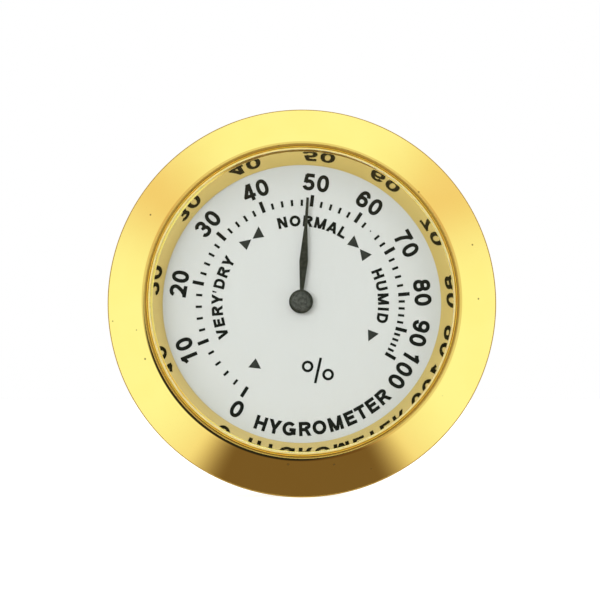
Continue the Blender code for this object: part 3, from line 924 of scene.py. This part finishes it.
def build_back():
    """Back cover with vent slots, the hub's hole and two ring grooves in its rear face."""
    cover_r = WALL_R
    outline = [(0, COVER_LOW), (cover_r, COVER_LOW), (cover_r, COVER_HIGH), (0, COVER_HIGH)]
    disc = spun(outline, 180)
    hole = [
        (0, COVER_LOW - 1), (HUB_HOLE_R, COVER_LOW - 1), (HUB_HOLE_R, COVER_HIGH + 1),
        (0, COVER_HIGH + 1),
    ]
    cutters = [spun(hole, 64, (PIVOT_X, PIVOT_Y))]
    ends = arc((0, VENT_IN_R), VENT_HALF_WIDE, 180, 360, 12)
    ends += arc((0, VENT_OUT_R), VENT_HALF_WIDE, 0, 180, 12)
    slots = []
    for k in range(VENTS):
        slot = slab(ends, COVER_LOW - 1, COVER_HIGH + 1)
        slot.transform(Matrix.Rotation(2 * math.pi * k / VENTS, 4, "Z"))
        slots.append(slot)
    cutters.append(merged(slots))
    groove_low = COVER_LOW + 0.18
    for middle, half_wide in ((4.4, 0.14), (15.3, 0.14)):
        ring = [
            (middle - half_wide, COVER_LOW - 1), (middle + half_wide, COVER_LOW - 1),
            (middle + half_wide, groove_low), (middle - half_wide, groove_low),
        ]
        cutters.append(spun(ring, 180))
    shape = boolean(disc, cutters, "DIFFERENCE")
    piece("vented_cover", shape, "plastic", "case", "back_cover", bevel=0.07)


# ---------------------------------------------------------------- pointer and coil


def build_pointer():
    lean = -math.radians(POINTER_DEG)
    place = Matrix.Translation((PIVOT_X, PIVOT_Y, 0)) @ Matrix.Rotation(lean, 4, "Z")
    stations = ((BOSS_R, 0.23), (4.75, 0.51), (8.85, 0.19), (POINTER_REACH, 0.155))
    side = [(half_width, reach) for reach, half_width in stations]
    neck = math.degrees(math.asin(stations[0][1] / BOSS_R))
    ring = arc((0, 0), BOSS_R - 0.04, 90 + neck, 450 - neck, 64)
    outline = ring[:-1] + side + [(-x, y) for x, y in side[:0:-1]]
    blade = slab(outline, POINTER_LOW, POINTER_HIGH)
    hole = slab(arc((0, 0), 0.8, 0, 360, 32)[:-1], POINTER_LOW - 1, POINTER_HIGH + 1)
    shape = boolean(blade, [hole], "DIFFERENCE")
    shape.transform(place)
    piece("needle", shape, "pointer", "pointer", "pointer", bevel=0.03)

    under = POINTER_HIGH + 0.025
    dome = bowed((BOSS_R, under + 0.15), (0, BOSS_HIGH), 0.1, 16)
    stem_r, bore_r = 0.75, 0.43
    outline = [
        (0, POINTER_HIGH), (bore_r, POINTER_HIGH), (bore_r, BOSS_LOW), (stem_r, BOSS_LOW),
        (stem_r, under), (BOSS_R, under), *dome,
    ]
    shape = spun(fillet(outline, {5: 0.04, 6: 0.08}, 3), SMALL_STEPS, (PIVOT_X, PIVOT_Y))
    piece("needle_boss", shape, "pointer", "pointer", "pointer_hub")


def build_coil():
    """The spiral strip, wound from the collet on the spindle out to the anchor pin."""
    low, high = heights("humidity_coil")
    pitch = (STRIP_OUT_R - STRIP_IN_R) / STRIP_TURNS
    start = math.radians(-90) - 2 * math.pi * STRIP_TURNS
    past_pin = 0.14
    sweep = 2 * math.pi * STRIP_TURNS + past_pin
    steps = 420
    shape = bmesh.new()
    rows = []
    for k in range(steps + 1):
        turn = start + sweep * k / steps
        middle = STRIP_IN_R + pitch * (turn - start) / (2 * math.pi)
        corners = []
        for out, h in ((-1, low), (1, low), (1, high), (-1, high)):
            r = middle + out * STRIP_THICK / 2
            corners.append(shape.verts.new((
                PIVOT_X + r * math.cos(turn), PIVOT_Y + r * math.sin(turn), h
            )))
        rows.append(corners)
    for row, following in zip(rows, rows[1:]):
        for k in range(4):
            nxt = (k + 1) % 4
            shape.faces.new((row[k], row[nxt], following[nxt], following[k]))
    shape.faces.new(rows[0])
    shape.faces.new(rows[-1])
    made = piece("wound_strip", shape, "strip", None)
    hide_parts("humidity_coil")
    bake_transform(made)


# ---------------------------------------------------------------- carried-over CAD nodes

CAD_FINISH = {
    "dial_plate": "dial", "movement_plate": "brass", "support_ring": "plastic",
    "front_bearing_bush": "brass", "pillar_left": "brass", "pillar_right": "brass",
    "movement_bridge": "brass", "bridge_screw_left": "steel", "bridge_screw_right": "steel",
    "calibration_hub": "brass", "calibration_arm": "steel", "coil_anchor_pin": "brass",
    "friction_washer": "steel", "hub_retaining_clip": "steel", "spindle": "steel",
    "coil_collet": "brass",
}


def finish_cad_nodes():
    for node, finish in CAD_FINISH.items():
        obj = frame["nodes"][node]
        obj.data.materials.clear()
        obj.data.materials.append(FINISH[finish])


# ---------------------------------------------------------------- studio

# What the metal mirrors: soft boxes placed round the dial, 0 straight down and 90 to the right, on
# a duller wall, over the dim edge of the table
BOX_PLACES_DEG = (-80, 80, 180)
BOX_HALF_DEG, BOX_SOFT_DEG = 15, 35
TABLE_HALF_DEG, TABLE_SOFT_DEG = 25, 15
BOX_TINT = (1.08, 1.32, 1.30, 1)
WALL_TINT = (0.96, 0.90, 0.74, 1)
TABLE_TINT = (0.20, 0.14, 0.08, 1)
CAMERA_GAP_TINT = (0.34, 0.27, 0.16, 1)
SIDE_TINT = (0.40, 0.32, 0.18, 1)
DARK_SPOTS_DEG = ((0, -1, 5, 12), (-9, -9, 10, 16))  # right, up, dark within, clear beyond


def build_world():
    """Soft studio surround, plain white behind the object. In front, what the metal mirrors: soft
    boxes on a duller wall, a dark gap where a camera stands, and a dim table low down."""
    world = bpy.data.worlds.new("studio")
    bpy.context.scene.world = world
    world.use_nodes = True
    world.node_tree.nodes.clear()
    graph = Graph(world.node_tree)
    direction = graph.new("TexCoord").outputs["Generated"]
    across = stretched(graph, direction, 1, 0, 1)
    around = graph.new("VectorMath", {0: across}, operation="NORMALIZE").outputs[0]
    forward = graph.math("MULTIPLY", graph.new("SeparateXYZ", {0: direction}).outputs["Y"], -1.0)

    def beyond(place_deg, half_deg, soft_deg):
        """0 within half_deg of a place round the dial, 1 from soft_deg further on."""
        turn = math.radians(place_deg)
        inputs = {0: around, 1: (math.sin(turn), 0, -math.cos(turn))}
        toward = graph.new("VectorMath", inputs, operation="DOT_PRODUCT").outputs["Value"]
        near, far = (math.cos(math.radians(angle)) for angle in (half_deg, half_deg + soft_deg))
        return graph.remap(toward, far, near, 1.0, 0.0, smooth=True)

    boxes = WALL_TINT
    for place_deg in BOX_PLACES_DEG:
        boxes = graph.mix(beyond(place_deg, BOX_HALF_DEG, BOX_SOFT_DEG), BOX_TINT, boxes)
    boxes = graph.mix(beyond(0, TABLE_HALF_DEG, TABLE_SOFT_DEG), TABLE_TINT, boxes)

    def off_axis(low_deg, high_deg):
        """0 nearer to -Y than low_deg, 1 further off than high_deg."""
        low, high = math.cos(math.radians(low_deg)), math.cos(math.radians(high_deg))
        return graph.remap(forward, high, low, 1.0, 0.0, smooth=True)

    dimmer = graph.new("VectorMath", {0: boxes, 1: (0.80, 0.68, 0.58)}, operation="MULTIPLY")
    dimmed = graph.mix(off_axis(25, 30), dimmer.outputs[0], boxes)
    inner = graph.mix(off_axis(10, 15), CAMERA_GAP_TINT, dimmed)
    wide = graph.mix(off_axis(56, 62), inner, grey(1.85))
    sides = graph.mix(off_axis(68, 74), wide, SIDE_TINT)
    seen = graph.mix(off_axis(100, 125), sides, grey(0.9))
    for right_deg, up_deg, full, clear in DARK_SPOTS_DEG:
        spot = Vector((math.tan(math.radians(right_deg)), -1, math.tan(math.radians(up_deg))))
        inputs = {0: direction, 1: spot.normalized()}
        toward = graph.new("VectorMath", inputs, operation="DOT_PRODUCT").outputs["Value"]
        low, high = math.cos(math.radians(clear)), math.cos(math.radians(full))
        seen = graph.mix(graph.remap(toward, low, high, smooth=True), seen, grey(0.03))
    path = graph.new("LightPath")
    backdrop = graph.mix(path.outputs["Is Camera Ray"], seen, grey(1.0))
    shade = graph.new("Background", {"Color": backdrop, "Strength": 1.0})
    out = graph.new("OutputWorld")
    graph.tree.links.new(shade.outputs[0], out.inputs["Surface"])


def build_floor():
    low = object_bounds()[0]
    shape = bmesh.new()
    bmesh.ops.create_grid(shape, x_segments=1, y_segments=1, size=3.0)
    floor = bare_object("floor", shape)
    floor.location.z = low.z
    made, graph, shader, place = start_material("pale_floor", (0.6, 0.6, 0.6), 0.8)
    mottle = graph.noise(place, 0.004, 3.0)
    link(graph, graph.mix(mottle, grey(0.62), grey(0.58)), shader, "Base Color")
    shader.inputs["Emission Color"].default_value = grey(1.0)
    shader.inputs["Emission Strength"].default_value = 0.75
    floor.data.materials.append(made)
    floor.visible_glossy = False
    floor.visible_transmission = False


def build_lamps():
    """Two soft boxes that shape the dull surfaces; the polished ones mirror the surround instead."""
    for name, place, size, watts in (
        ("key_box", (-0.14, -0.50, -0.08), 0.45, 6.6), ("fill_box", (0.30, 0.40, 0.35), 0.5, 1.6),
    ):
        light = bpy.data.lights.new(name, "AREA")
        light.shape = "DISK"
        light.size = size
        light.energy = watts
        lamp = bpy.data.objects.new(name, light)
        lamp.location = place
        lamp.rotation_euler = (-Vector(place)).to_track_quat("-Z", "Y").to_euler()
        lamp.visible_glossy = False
        lamp.visible_transmission = False
        bpy.context.collection.objects.link(lamp)


def build_camera():
    """Nearly square on to the dial, a little below its axis."""
    distance, below_deg = 180.0, 3.5
    rim_r_share = 0.6483  # of half the frame's width
    data = bpy.data.cameras.new("camera")
    camera = bpy.data.objects.new("camera", data)
    back = Vector((0, -math.cos(math.radians(below_deg)), -math.sin(math.radians(below_deg))))
    aim = Vector((-0.22, 0, 0.29))
    camera.location = (aim + back * distance) * MM
    camera.rotation_euler = (-back).to_track_quat("-Z", "Y").to_euler()
    half_width = RIM_R / rim_r_share * distance / (distance - RIM_H)
    data.lens = data.sensor_width / 2 * distance / half_width
    data.clip_start, data.clip_end = 0.01, 20
    bpy.context.collection.objects.link(camera)
    bpy.context.scene.camera = camera


build_bezel()
build_glass()
build_wall()
build_barrel()
build_back()
print_dial()
build_pointer()
build_coil()
finish_cad_nodes()
build_world()
build_floor()
build_lamps()
build_camera()
bpy.context.scene.view_settings.view_transform = "Standard"
